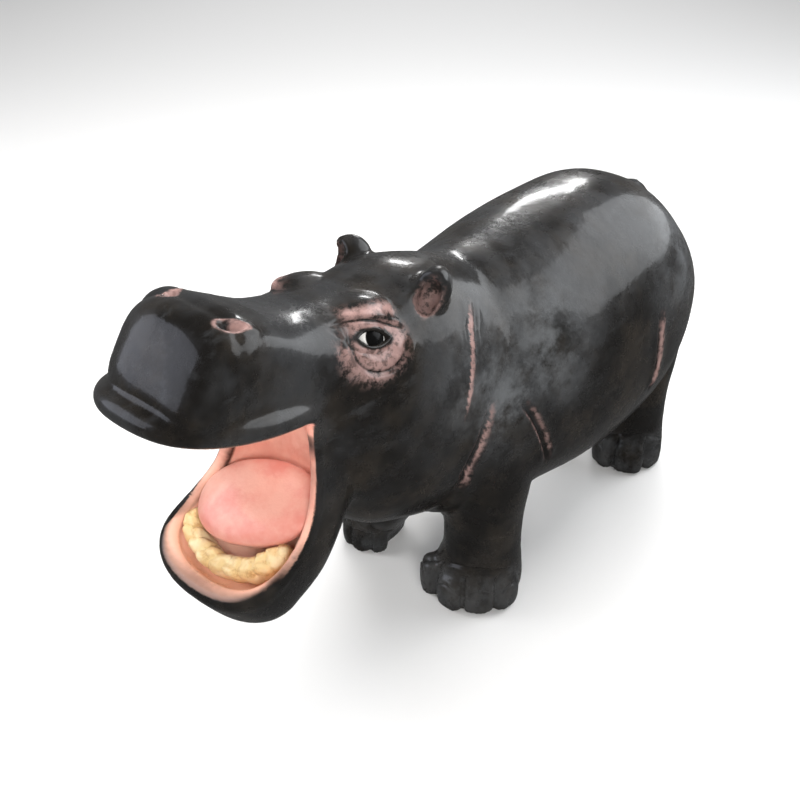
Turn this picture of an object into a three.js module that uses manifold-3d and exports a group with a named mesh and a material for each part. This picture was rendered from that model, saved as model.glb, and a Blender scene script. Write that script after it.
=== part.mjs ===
// A hippopotamus statue in glossy painted fibreglass, standing with its mouth wide open.
// Millimetres. +Z is up, -Y is the way it faces, +X is its left side.
// The flesh is modelled whole from lofts, then parted with thin cuts into named pieces.

import * as THREE from 'three';
import { LoftGeometry } from 'three/addons/geometries/LoftGeometry.js';
import { mergeVertices } from 'three/addons/utils/BufferGeometryUtils.js';
import Module from 'manifold-3d';

const wasm = await Module();
wasm.setup();

const partingGap = 0.3; // clearance left wherever two pieces meet
const ringPoints = 18; // points round a section of the body
const beadPoints = 7; // points round a lip bead
const domeRings = 3; // sections in a domed end
const domeSpan = 80; // degrees of a dome before its flat tip

// Each station is a section of a body: its centre, the pitch of the way forward there,
// its half width, its reach above and below the centre, and how square its outline is.
// A body may end in a dome: its length, how blunt it is across and how blunt its chin is.
// A body with a middle leans to one side by that much at its front end.

const trunk = {
  steps: 12,
  stations: [
    { y: 864, z: 505, pitch: 0, wide: 84, above: 100, below: 80, crown: 1.8, keel: 2.0, taper: 0 },
    { y: 836, z: 500, pitch: 0, wide: 148, above: 146, below: 138, crown: 1.8, keel: 2.1, taper: 0 },
    { y: 760, z: 488, pitch: 0, wide: 205, above: 214, below: 216, crown: 1.9, keel: 2.1, taper: 0.03 },
    { y: 640, z: 478, pitch: 0, wide: 243, above: 290, below: 276, crown: 2.3, keel: 2.3, taper: 0.04 },
    { y: 480, z: 470, pitch: 0, wide: 254, above: 308, below: 292, crown: 2.3, keel: 2.4, taper: 0.04 },
    { y: 320, z: 465, pitch: 0, wide: 252, above: 306, below: 277, crown: 2.3, keel: 2.4, taper: 0.05 },
    { y: 170, z: 470, pitch: 0, wide: 234, above: 292, below: 262, crown: 2.2, keel: 2.3, taper: 0.08 },
    { y: 40, z: 480, pitch: 0, wide: 205, above: 281, below: 275, crown: 2.05, keel: 2.2, taper: 0.1 },
    { y: -60, z: 505, pitch: 0, wide: 176, above: 256, below: 255, crown: 2.0, keel: 2.2, taper: 0.1 },
  ],
};

const head = {
  steps: 14,
  dome: 44,
  blunt: 0.6,
  middle: 12,
  stations: [
    { y: 90, z: 520, pitch: 0, wide: 190, above: 238, below: 300, crown: 2.1, keel: 2.2, taper: 0.1 },
    { y: -20, z: 560, pitch: 0, wide: 182, above: 238, below: 310, crown: 2.2, keel: 2.2, taper: 0.12 },
    { y: -120, z: 610, pitch: 2, wide: 168, above: 210, below: 330, crown: 2.3, keel: 2.2, taper: 0.14 },
    { y: -220, z: 675, pitch: 5, wide: 146, above: 140, below: 334, crown: 2.4, keel: 2.2, taper: 0.16 },
    { y: -320, z: 745, pitch: 8, wide: 120, above: 79, below: 200, crown: 2.5, keel: 3.0, taper: 0.16 },
    { y: -400, z: 772, pitch: 11, wide: 117, above: 70, below: 92, crown: 2.7, keel: 3.2, taper: 0.12 },
    { y: -480, z: 795, pitch: 17, wide: 120, above: 84, below: 92, crown: 3.0, keel: 3.0, taper: 0.07 },
    { y: -540, z: 810, pitch: 27, wide: 121, above: 96, below: 92, crown: 3.2, keel: 3.4, taper: 0.03 },
    { y: -572, z: 817, pitch: 33, wide: 118, above: 94, below: 88, crown: 3.2, keel: 3.4, taper: 0.03 },
  ],
};

// The jaw runs down from the mouth corner, then forward to the chin.
// Above its centre line is the open mouth, below it the throat and chin.
const jaw = {
  steps: 9,
  dome: 92,
  blunt: 0.82,
  chin: 0.42,
  middle: -16,
  stations: [
    { y: -335, z: 720, pitch: -95, wide: 106, above: 8, below: 150, crown: 2.4, keel: 2.4, taper: 0 },
    { y: -386, z: 660, pitch: -90, wide: 112, above: 8, below: 200, crown: 2.5, keel: 2.4, taper: 0 },
    { y: -386, z: 590, pitch: -88, wide: 114, above: 8, below: 190, crown: 2.5, keel: 2.4, taper: 0 },
    { y: -394, z: 527, pitch: -78, wide: 120, above: 8, below: 166, crown: 2.5, keel: 2.4, taper: 0 },
    { y: -418, z: 476, pitch: -58, wide: 130, above: 8, below: 150, crown: 2.4, keel: 2.4, taper: 0 },
    { y: -460, z: 440, pitch: -42, wide: 140, above: 8, below: 154, crown: 2.4, keel: 2.5, taper: 0 },
    { y: -506, z: 411, pitch: -33, wide: 142, above: 8, below: 144, crown: 2.4, keel: 2.6, taper: 0 },
  ],
};

// The hollow of the mouth, on the jaw's own centre line.
const mouth = {
  steps: 7,
  dome: 58,
  blunt: 0.82,
  middle: -14,
  stations: [
    { y: -345, z: 715, pitch: -95, wide: 80, above: 60, below: 30, crown: 2.4, keel: 2.4, taper: 0 },
    { y: -388, z: 655, pitch: -90, wide: 92, above: 70, below: 52, crown: 2.6, keel: 2.6, taper: 0 },
    { y: -388, z: 590, pitch: -88, wide: 97, above: 70, below: 58, crown: 2.6, keel: 2.6, taper: 0 },
    { y: -395, z: 527, pitch: -78, wide: 101, above: 70, below: 62, crown: 2.6, keel: 2.6, taper: 0 },
    { y: -418, z: 478, pitch: -58, wide: 110, above: 70, below: 66, crown: 2.5, keel: 2.5, taper: 0 },
    { y: -460, z: 443, pitch: -42, wide: 119, above: 70, below: 62, crown: 2.5, keel: 2.5, taper: 0 },
    { y: -503, z: 415, pitch: -33, wide: 120, above: 60, below: 54, crown: 2.4, keel: 2.4, taper: 0 },
  ],
};

const palate = {
  steps: 5,
  stations: [
    { y: -380, z: 672, pitch: 14, wide: 84, above: 26, below: 50, crown: 2.4, keel: 2.4, taper: 0 },
    { y: -460, z: 694, pitch: 15, wide: 96, above: 30, below: 50, crown: 2.6, keel: 2.4, taper: 0 },
    { y: -540, z: 716, pitch: 16, wide: 100, above: 30, below: 50, crown: 2.8, keel: 2.4, taper: 0 },
    { y: -606, z: 735, pitch: 17, wide: 88, above: 22, below: 50, crown: 2.8, keel: 2.4, taper: 0 },
  ],
};

// The gum behind the upper lip, from the mouth corners to just inside the front of the lip.
const gum = {
  steps: 6,
  dome: 14,
  stations: [
    { y: -360, z: 706, pitch: 10, wide: 92, above: 20, below: 14, crown: 3.0, keel: 2.4, taper: 0 },
    { y: -430, z: 722, pitch: 14, wide: 120, above: 12, below: 18, crown: 3.0, keel: 2.4, taper: 0 },
    { y: -520, z: 744, pitch: 15, wide: 130, above: 12, below: 18, crown: 3.4, keel: 2.4, taper: 0 },
    { y: -590, z: 762, pitch: 16, wide: 122, above: 12, below: 18, crown: 3.6, keel: 2.4, taper: 0 },
    { y: -612, z: 768, pitch: 17, wide: 112, above: 12, below: 14, crown: 3.6, keel: 2.4, taper: 0 },
  ],
};

const upperLip = {
  steps: 20,
  middle: -6,
  halfWidth: 134,
  cornerWidth: 106,
  cornerY: -396,
  cornerZ: 701,
  reach: 250, // from the mouth corner to the front of the lip
  rise: 64, // how much higher the front is than the corner
  squareness: 3.4,
  thick: 20,
  tall: 21,
  lean: 0.02, // the left side is the higher by this slope
};

const lowerLip = { sideSteps: 6, frontSteps: 6, thick: 13, inset: 10, frontInset: 19 };

// Each leg is a column whose sections widen into the body above and the foot below.
const frontColumn = [
  { z: 0, wide: 88, deep: 88, outward: -12, power: 2.3 },
  { z: 40, wide: 96, deep: 96, outward: -12, power: 2.3 },
  { z: 90, wide: 88, deep: 92, outward: -6, power: 2.2 },
  { z: 140, wide: 80, deep: 85, outward: 0, power: 2.1 },
  { z: 220, wide: 80, deep: 90, outward: 0, power: 2.1 },
  { z: 300, wide: 87, deep: 104, outward: 0, power: 2.1 },
  { z: 380, wide: 86, deep: 114, outward: 0, power: 2.1 },
  { z: 440, wide: 76, deep: 110, outward: 0, power: 2.1 },
];
const splayedColumn = [
  { z: 0, wide: 52, deep: 76, outward: 56, power: 2.3 },
  { z: 40, wide: 60, deep: 82, outward: 52, power: 2.3 },
  { z: 90, wide: 72, deep: 86, outward: 34, power: 2.2 },
  { z: 140, wide: 84, deep: 84, outward: 12, power: 2.1 },
  { z: 180, wide: 97, deep: 88, outward: -5, power: 2.1 },
  { z: 240, wide: 105, deep: 94, outward: -16, power: 2.1 },
  { z: 310, wide: 104, deep: 108, outward: -14, power: 2.1 },
  { z: 380, wide: 92, deep: 118, outward: -6, power: 2.1 },
  { z: 440, wide: 76, deep: 110, outward: 0, power: 2.1 },
];
const rearColumn = [
  { z: 0, wide: 68, deep: 76, outward: 0, power: 2.3 },
  { z: 40, wide: 76, deep: 86, outward: 0, power: 2.3 },
  { z: 90, wide: 74, deep: 78, outward: 0, power: 2.2 },
  { z: 140, wide: 72, deep: 74, outward: 0, power: 2.1 },
  { z: 220, wide: 72, deep: 74, outward: 0, power: 2.1 },
  { z: 300, wide: 80, deep: 78, outward: 0, power: 2.1 },
  { z: 400, wide: 84, deep: 84, outward: 0, power: 2.1 },
  { z: 460, wide: 76, deep: 76, outward: 0, power: 2.1 },
];
const legSteps = 9;
const legPoints = 14;
// Toes fan round the front of a foot: each has an angle from straight ahead and a share of
// the foot's half size.
const toeSize = { lift: 40, front: [36, 32, 50], splayed: [25, 28, 50], rear: [39, 32, 58] };
const nearToes = [[-44, 0.95], [-1, 0.8], [41, 0.74], [84, 0.78]];
const farToes = [[-52, 0.8], [-14, 0.72], [24, 0.72], [60, 0.74]];
const rearToes = [[-26, 0.86], [30, 0.79], [84, 0.68]];
const legs = {
  leg_front_left: { side: 1, x: 122, y: 66, column: frontColumn, toes: nearToes, toe: toeSize.front },
  leg_front_right: { side: -1, x: 122, y: 55, column: splayedColumn, toes: farToes, toe: toeSize.splayed },
  leg_rear_left: { side: 1, x: 118, y: 722, column: rearColumn, toes: rearToes, toe: toeSize.rear },
  leg_rear_right: { side: -1, x: 118, y: 722, column: rearColumn, toes: rearToes, toe: toeSize.rear },
};

// Where the whole body is parted, as outlines in the (y, z) plane that run anticlockwise.
const legCut = {
  front: [[-90, -10], [200, -10], [200, 180], [150, 200], [-90, 200]],
  rear: [[580, -10], [860, -10], [860, 210], [700, 200], [580, 140]],
};
const cuts = {
  lower_jaw: [[-700, 200], [-240, 200], [-262, 330], [-325, 640], [-410, 670], [-700, 600]],
  head: [[-700, 200], [-255, 200], [-20, 900], [-20, 1000], [-700, 1000]],
  neck: [[-255, 200], [-35, 100], [70, 900], [70, 1000], [-255, 1000]],
};

const brow = { x: 60, y: -232, z: 780, size: [46, 76, 38], turn: 8, pitch: -15 };
// The eyeball shows through an almond cut in the lid that covers it.
const eye = { x: 80, y: -251, z: 748, radius: 38, lid: 3 };
const almond = { x: 114, y: -260, z: 766, size: [17, 36, 15], tip: 29, turn: 20 };
const nostril = { size: [16, 24, 15], pitch: -18, places: [[84, -521, 884], [-52, -515, 897]] };
const mound = { x: 82, y: -508, z: 860, size: [31, 40, 27] };
const ear = {
  x: 98, y: -88, z: 784, size: [31, 43, 44], hollow: [22, 30, 34], set: 34, turn: 24, tip: 12,
};
const tail = { steps: 6, thick: 22, tip: 13 };
// The tongue and the teeth are placed on the floor of the jaw: across it, forwards and up.
const jawFloor = { y: -418, z: 476, slope: 35 };
const tongue = { middle: [-12, 10], half: [118, 80], turn: -22, high: 27, deep: 120, rise: 2 };
const teeth = {
  middle: [-30, 52], half: [106, 78], from: -76, to: 96, steps: 22, points: 8, wide: 20, high: 30,
  deep: 52, rise: -24, pinch: 0.86, tip: 0.6,
};

const sideways = new THREE.Vector3(1, 0, 0);
const radians = THREE.MathUtils.degToRad;
const round = { crown: 2, keel: 2, taper: 0 };

// A value between stations, on a Catmull-Rom curve through them.
function between(stations, key, t) {
  const last = stations.length - 1;
  const i = Math.min(Math.floor(t), last - 1);
  const f = t - i;
  const a = stations[Math.max(i - 1, 0)][key];
  const b = stations[i][key];
  const c = stations[i + 1][key];
  const d = stations[Math.min(i + 2, last)][key];
  return b + 0.5 * f * (c - a + f * (2 * a - 5 * b + 4 * c - d + f * (3 * (b - c) + d - a)));
}

function blendStations(stations, t) {
  const blended = {};
  for (const key of Object.keys(stations[0])) {
    blended[key] = between(stations, key, t);
  }
  return blended;
}

// A superellipse outline about a centre, with its own reach above and below.
function ring(centre, side, rise, section, count) {
  const points = [];
  for (let i = 0; i < count; i++) {
    const angle = (2 * Math.PI * i) / count;
    const c = Math.cos(angle);
    const s = Math.sin(angle);
    const power = 2 / (s > 0 ? section.crown : section.keel);
    const height = Math.sign(s) * Math.abs(s) ** power;
    const reach = s > 0 ? section.above : section.below;
    const across = Math.sign(c) * Math.abs(c) ** power * section.wide * (1 - section.taper * height);
    const up = height * reach;
    points.push(centre.clone().addScaledVector(side, across).addScaledVector(rise, up));
  }
  return points;
}

// A body lofted through stations along the middle of the animal, with a domed front end.
function loft(shape, grow = 0, count = ringPoints) {
  const rings = [];
  const last = shape.stations.length - 1;
  const { dome = 0, blunt = 0.8, chin = blunt, middle = 0 } = shape;
  const place = (s, aside, ahead, scale, depth) => {
    const forward = new THREE.Vector3(0, -Math.cos(radians(s.pitch)), Math.sin(radians(s.pitch)));
    const rise = new THREE.Vector3().crossVectors(forward, sideways);
    const centre = new THREE.Vector3(aside, s.y, s.z).addScaledVector(forward, ahead);
    const section = {
      ...s,
      wide: (s.wide + grow) * scale,
      above: (s.above + grow) * scale,
      below: (s.below + grow) * depth,
    };
    rings.push(ring(centre, sideways, rise, section, count));
  };
  for (let i = 0; i <= shape.steps; i++) {
    const share = i / shape.steps;
    place(blendStations(shape.stations, last * share), middle * share * share, 0, 1, 1);
  }
  for (let i = 1; dome > 0 && i <= domeRings; i++) {
    const angle = radians((domeSpan * i) / domeRings);
    const narrow = Math.cos(angle);
    place(shape.stations[last], middle, dome * Math.sin(angle), narrow ** blunt, narrow ** chin);
  }
  return new LoftGeometry(rings, { closed: true, capStart: true, capEnd: true });
}

// A leg lofted upwards from its sole, with a fan of toes round the front of the foot.
function legSolid(leg) {
  const rings = [];
  const last = leg.column.length - 1;
  const back = new THREE.Vector3(0, 1, 0);
  for (let i = 0; i <= legSteps; i++) {
    const s = blendStations(leg.column, (last * i) / legSteps);
    const centre = new THREE.Vector3(leg.side * (leg.x + s.outward), leg.y, s.z);
    const section = { wide: s.wide, above: s.deep, below: s.deep, crown: s.power, keel: s.power, taper: 0 };
    rings.push(ring(centre, sideways, back, section, legPoints));
  }
  const made = [solid(new LoftGeometry(rings, { closed: true, capStart: true, capEnd: true }))];
  const foot = leg.column[1];
  for (const [degrees, reach] of leg.toes) {
    const angle = radians(degrees);
    const x = leg.side * (leg.x + foot.outward + foot.wide * reach * Math.sin(angle));
    const y = leg.y - foot.deep * reach * Math.cos(angle);
    made.push(solid(ball(leg.toe, [x, y, toeSize.lift], [0, 0, leg.side * angle], [8, 5])));
  }
  return join(made);
}

// A bead of round section swept along a curve.
function bead(points, thick, tall) {
  const curve = new THREE.CatmullRomCurve3(points);
  const steps = points.length - 1;
  const rings = [];
  for (let i = 0; i <= steps; i++) {
    const along = curve.getTangent(i / steps);
    const up = new THREE.Vector3(0, 0.35, 1);
    const out = new THREE.Vector3().crossVectors(up, along).normalize();
    up.crossVectors(along, out);
    const fade = Math.min(1, 0.3 + (7 * Math.min(i, steps - i)) / steps);
    const section = { ...round, wide: thick * fade, above: tall * fade, below: tall * fade };
    rings.push(ring(points[i], out, up, section, beadPoints));
  }
  return new LoftGeometry(rings, { closed: true, capStart: true, capEnd: true });
}

function ball(size, centre, turn = [0, 0, 0], segments = [14, 10]) {
  const geometry = new THREE.SphereGeometry(1, ...segments);
  geometry.rotateX(Math.PI / 2);
  geometry.scale(...size);
  geometry.applyMatrix4(new THREE.Matrix4().makeRotationFromEuler(new THREE.Euler(...turn)));
  geometry.translate(...centre);
  return geometry;
}

// A slab across the animal, from an outline in the (y, z) plane.
function prism(outline, fromX, toX) {
  const shape = new THREE.Shape(outline.map(([y, z]) => new THREE.Vector2(y, z)));
  const geometry = new THREE.ExtrudeGeometry(shape, { depth: toX - fromX, bevelEnabled: false });
  const basis = new THREE.Matrix4().makeBasis(
    new THREE.Vector3(0, 1, 0),
    new THREE.Vector3(0, 0, 1),
    sideways,
  );
  geometry.applyMatrix4(basis);
  geometry.translate(fromX, 0, 0);
  return geometry;
}

function solid(geometry) {
  const bare = new THREE.BufferGeometry();
  bare.setAttribute('position', geometry.attributes.position);
  bare.setIndex(geometry.index);
  const merged = mergeVertices(bare, 1e-3);
  const mesh = new wasm.Mesh({
    numProp: 3,
    vertProperties: new Float32Array(merged.attributes.position.array),
    triVerts: new Uint32Array(merged.index.array),
  });
  return new wasm.Manifold(mesh);
}

function geometryOf(body) {
  const mesh = body.getMesh();
  const geometry = new THREE.BufferGeometry();
  const position = new THREE.BufferAttribute(new Float32Array(mesh.vertProperties), 3);
  geometry.setAttribute('position', position);
  geometry.setIndex(new THREE.BufferAttribute(new Uint32Array(mesh.triVerts), 1));
  geometry.computeVertexNormals();
  return geometry;
}

const join = (bodies) => bodies.reduce((whole, body) => whole.add(body));

// The upper lip follows a squared U from one mouth corner round the front to the other.
function upperLipPoints() {
  const points = [];
  for (let i = 0; i <= upperLip.steps; i++) {
    const angle = Math.PI * (i / upperLip.steps);
    const c = Math.cos(angle);
    const ahead = Math.sin(angle) ** (2 / upperLip.squareness);
    const half = THREE.MathUtils.lerp(upperLip.cornerWidth, upperLip.halfWidth, 1 - (1 - ahead) ** 3);
    const across = half * Math.sign(c) * Math.abs(c) ** (2 / upperLip.squareness);
    const x = across + upperLip.middle * ahead;
    const y = upperLip.cornerY - upperLip.reach * ahead;
    const z = upperLip.cornerZ + upperLip.rise * ahead + upperLip.lean * x;
    points.push(new THREE.Vector3(x, y, z));
  }
  return points;
}

// The lower lip follows the rim of the jaw from one mouth corner round the chin.
function lowerLipPoints() {
  const last = jaw.stations.length - 1;
  const side = (t) => {
    const s = blendStations(jaw.stations, t);
    const aside = jaw.middle * (t / last) ** 2;
    return [aside, s.wide - lowerLip.inset, s.y, s.z];
  };
  const left = [];
  const right = [];
  for (let i = 0; i < lowerLip.sideSteps; i++) {
    const [aside, half, y, z] = side(1 + ((last - 1) * i) / lowerLip.sideSteps);
    left.push(new THREE.Vector3(aside + half, y, z));
    right.unshift(new THREE.Vector3(aside - half, y, z));
  }
  const front = [];
  const [aside, half, y, z] = side(last);
  const slope = radians(-jaw.stations[last].pitch);
  for (let i = 0; i <= lowerLip.frontSteps; i++) {
    const angle = Math.PI * (i / lowerLip.frontSteps);
    const c = Math.cos(angle);
    const ahead = (jaw.dome - lowerLip.frontInset) * Math.sin(angle);
    const x = aside + half * Math.sign(c) * Math.abs(c) ** jaw.blunt;
    front.push(new THREE.Vector3(x, y - ahead * Math.cos(slope), z - ahead * Math.sin(slope)));
  }
  return [...left, ...front, ...right];
}

// An outline with each edge moved outwards, for an outline that runs anticlockwise.
function widened(outline, distance) {
  const count = outline.length;
  return outline.map((corner, i) => {
    const here = new THREE.Vector2(...corner);
    const before = new THREE.Vector2(...outline[(i + count - 1) % count]);
    const after = new THREE.Vector2(...outline[(i + 1) % count]);
    const a = here.clone().sub(before).normalize();
    const b = after.sub(here).normalize();
    const out = new THREE.Vector2(a.y + b.y, -a.x - b.x);
    here.addScaledVector(out, distance / (1 + a.dot(b)));
    return [here.x, here.y];
  });
}

// A place given across the jaw, forwards along its floor and up from its rim.
function onJaw(x, ahead, rise) {
  const slope = radians(jawFloor.slope);
  const y = jawFloor.y - ahead * Math.cos(slope) - rise * Math.sin(slope);
  const z = jawFloor.z - ahead * Math.sin(slope) + rise * Math.cos(slope);
  return new THREE.Vector3(x, y, z);
}

// Lumpy teeth grown together in a crescent round the front of the tongue.
function teethSolid() {
  const rings = [];
  const [x, ahead] = teeth.middle;
  const [halfWidth, halfReach] = teeth.half;
  for (let i = 0; i <= teeth.steps; i++) {
    const turn = radians(THREE.MathUtils.lerp(teeth.from, teeth.to, i / teeth.steps));
    const end = i % teeth.steps ? 1 : teeth.tip;
    const knob = end * (i % 2 ? 1 : teeth.pinch);
    const points = [];
    for (let k = teeth.points; k > 0; k--) {
      const c = Math.cos((2 * Math.PI * k) / teeth.points);
      const s = Math.sin((2 * Math.PI * k) / teeth.points);
      const out = teeth.wide * knob * c;
      const rise = teeth.rise + s * (s > 0 ? teeth.high * knob : teeth.deep);
      const across = x + (halfWidth + out) * Math.sin(turn);
      points.push(onJaw(across, ahead + (halfReach + out) * Math.cos(turn), rise));
    }
    rings.push(points);
  }
  return solid(new LoftGeometry(rings, { closed: true, capStart: true, capEnd: true }));
}

function tongueSolid(grow) {
  const [x, ahead] = tongue.middle;
  const [wide, long] = tongue.half;
  const geometry = ball([1, 1, 1], [0, 0, 0], [0, 0, 0], [14, 10]);
  const position = geometry.attributes.position;
  const turn = radians(tongue.turn);
  for (let i = 0; i < position.count; i++) {
    const across = position.getX(i) * (wide + grow);
    const along = -position.getY(i) * (long + grow);
    const up = position.getZ(i);
    const rise = tongue.rise + up * ((up > 0 ? tongue.high : tongue.deep) + grow);
    const forward = ahead + across * Math.sin(turn) + along * Math.cos(turn);
    const point = onJaw(x + across * Math.cos(turn) - along * Math.sin(turn), forward, rise);
    position.setXYZ(i, point.x, point.y, point.z);
  }
  return solid(geometry);
}

// The almond of an eye's opening, facing out of the head and tipped down towards the ear.
function almondSolid(side, grow) {
  const turn = [radians(-almond.turn), -side * radians(almond.tip), 0, 'YXZ'];
  const size = almond.size.map((v) => v + grow);
  return solid(ball(size, [side * almond.x, almond.y, almond.z], turn, [10, 8]));
}

// A cupped ear that opens forwards and outwards.
function earSolid(side) {
  const turn = [0, side * radians(ear.tip), side * radians(ear.turn), 'ZYX'];
  const facing = new THREE.Vector3(0, -ear.set, 4).applyEuler(new THREE.Euler(...turn));
  const centre = [side * ear.x, ear.y, ear.z];
  const inside = [centre[0] + facing.x, centre[1] + facing.y, centre[2] + facing.z];
  const cup = solid(ball(ear.size, centre, turn, [12, 8]));
  return cup.subtract(solid(ball(ear.hollow, inside, turn, [10, 8])));
}

// The tail comes off the top of the rump and lies down its back, flattened to the tip.
function tailSolid() {
  const path = new THREE.QuadraticBezierCurve3(
    new THREE.Vector3(0, 752, 700),
    new THREE.Vector3(0, 892, 664),
    new THREE.Vector3(0, 876, 470),
  );
  const rings = [];
  for (let i = 0; i <= tail.steps; i++) {
    const t = i / tail.steps;
    const along = path.getTangent(t);
    const rise = new THREE.Vector3().crossVectors(along, sideways);
    const thick = THREE.MathUtils.lerp(tail.thick, tail.tip, t);
    const section = { wide: thick * (1 + 0.5 * t * t), above: thick, below: thick, ...round };
    rings.push(ring(path.getPoint(t), sideways, rise, section, 12));
  }
  return solid(new LoftGeometry(rings, { closed: true, capStart: true, capEnd: true }));
}

const halfSpan = 400; // wider than the animal on either side
const wide = (outline) => solid(prism(outline, -halfSpan, halfSpan));
const sides = [[1, 'left'], [-1, 'right']];

const flesh = [
  solid(loft(trunk)),
  solid(loft(head)),
  solid(loft(jaw)),
  solid(loft(gum)),
  solid(bead(upperLipPoints(), upperLip.thick, upperLip.tall)),
  solid(bead(lowerLipPoints(), lowerLip.thick, lowerLip.thick)),
];
for (const [side] of sides) {
  const turn = [radians(brow.pitch), 0, side * radians(brow.turn), 'ZXY'];
  flesh.push(solid(ball(brow.size, [side * brow.x, brow.y, brow.z], turn, [12, 8])));
  flesh.push(solid(ball(mound.size, [side * mound.x, mound.y, mound.z], [0, 0, 0], [10, 6])));
  const lid = eye.radius + eye.lid;
  flesh.push(solid(ball([lid, lid, lid], [side * eye.x, eye.y, eye.z], [0, 0, 0], [12, 8])));
}
for (const leg of Object.values(legs)) {
  flesh.push(legSolid(leg));
}

let body = join(flesh);
body = body.subtract(wide([[-900, -200], [1200, -200], [1200, 0], [-900, 0]]));
body = body.subtract(solid(loft(mouth)));
body = body.subtract(solid(loft(palate)));
for (const place of nostril.places) {
  const turn = [radians(nostril.pitch), 0, 0];
  body = body.subtract(solid(ball(nostril.size, place, turn, [8, 6])));
}
for (const [side] of sides) {
  body = body.subtract(almondSolid(side, partingGap));
}

const group = new THREE.Group();
const blackPaint = { color: 0x1c1a18, roughness: 0.2, metalness: 0 };
const pinkPaint = { color: 0xd9897a, roughness: 0.35, metalness: 0 };
const toothPaint = { color: 0xd8c08a, roughness: 0.45, metalness: 0 };
const eyePaint = { color: 0xf2f0ea, roughness: 0.12, metalness: 0 };

function add(name, piece, look) {
  const mesh = new THREE.Mesh(geometryOf(piece), new THREE.MeshStandardMaterial(look));
  mesh.name = name;
  group.add(mesh);
}

// Parts a piece from the body along the edge of a region.
function part(name, region, cutter) {
  add(name, body.intersect(region), blackPaint);
  body = body.subtract(cutter);
}

for (const [name, leg] of Object.entries(legs)) {
  const front = name.includes('front');
  const outline = front ? legCut.front : legCut.rear;
  const [from, to] = leg.side > 0 ? [0, halfSpan] : [-halfSpan, 0];
  part(name, solid(prism(outline, from, to)), solid(prism(widened(outline, partingGap), from, to)));
}
for (const [name, outline] of Object.entries(cuts)) {
  part(name, wide(outline), wide(widened(outline, partingGap)));
}
add('trunk', body, blackPaint);

const headShell = solid(loft(head, partingGap));
const trunkShell = solid(loft(trunk, partingGap));
for (const [side, hand] of sides) {
  add(`ear_${hand}`, earSolid(side).subtract(headShell), blackPaint);
  const { radius } = eye;
  const eyeBall = ball([radius, radius, radius], [side * eye.x, eye.y, eye.z], [0, 0, 0], [16, 12]);
  add(`eye_${hand}`, solid(eyeBall).intersect(almondSolid(side, 0)), eyePaint);
}
add('tail', tailSolid().subtract(trunkShell), blackPaint);
const mouthSpace = solid(loft(mouth, -partingGap));
add('tongue', tongueSolid(0).intersect(mouthSpace), pinkPaint);
add('teeth_lower', teethSolid().intersect(mouthSpace).subtract(tongueSolid(partingGap)), toothPaint);

// The origin is on the floor, below the middle of the box that the statue fills.
const bounds = new THREE.Box3().setFromObject(group);
const middle = bounds.getCenter(new THREE.Vector3());
group.position.set(-middle.x, -middle.y, -bounds.min.z);

export default group;
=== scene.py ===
import math

import bmesh
import bpy
import numpy as np
from mathutils import Matrix, Vector


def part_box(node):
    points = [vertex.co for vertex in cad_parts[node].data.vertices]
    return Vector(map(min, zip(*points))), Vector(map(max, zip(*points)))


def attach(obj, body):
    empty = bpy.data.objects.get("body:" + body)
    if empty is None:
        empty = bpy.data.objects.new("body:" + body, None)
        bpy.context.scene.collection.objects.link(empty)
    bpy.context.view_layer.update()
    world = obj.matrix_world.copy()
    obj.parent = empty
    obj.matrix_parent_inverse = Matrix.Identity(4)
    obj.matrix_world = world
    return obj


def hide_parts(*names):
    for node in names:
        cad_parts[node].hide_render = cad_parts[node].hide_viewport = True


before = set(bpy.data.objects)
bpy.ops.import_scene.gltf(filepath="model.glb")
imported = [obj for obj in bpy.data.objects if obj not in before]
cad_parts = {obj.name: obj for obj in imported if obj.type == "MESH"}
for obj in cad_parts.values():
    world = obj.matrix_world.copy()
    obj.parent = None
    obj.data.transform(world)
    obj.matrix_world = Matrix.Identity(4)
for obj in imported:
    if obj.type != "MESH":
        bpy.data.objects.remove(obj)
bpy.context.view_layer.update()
metre = 1000.0   # the shapes below are in millimetres

# the animal's own axes: x to its left, y backwards, z up from the floor, x = 0 in its middle
eye = {"x": 80, "y": -251, "z": 748, "radius": 38, "lid": 3}   # the flesh round the ball is thicker by lid
leftEyeMiddle = np.array([107.5, -255.0, 762.4])   # of the left eye's box, in these axes
eyeLow, eyeHigh = (np.array(corner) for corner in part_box("eye_left"))
shift = metre * (eyeLow + eyeHigh) / 2 - leftEyeMiddle   # from these axes to the shared frame

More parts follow.
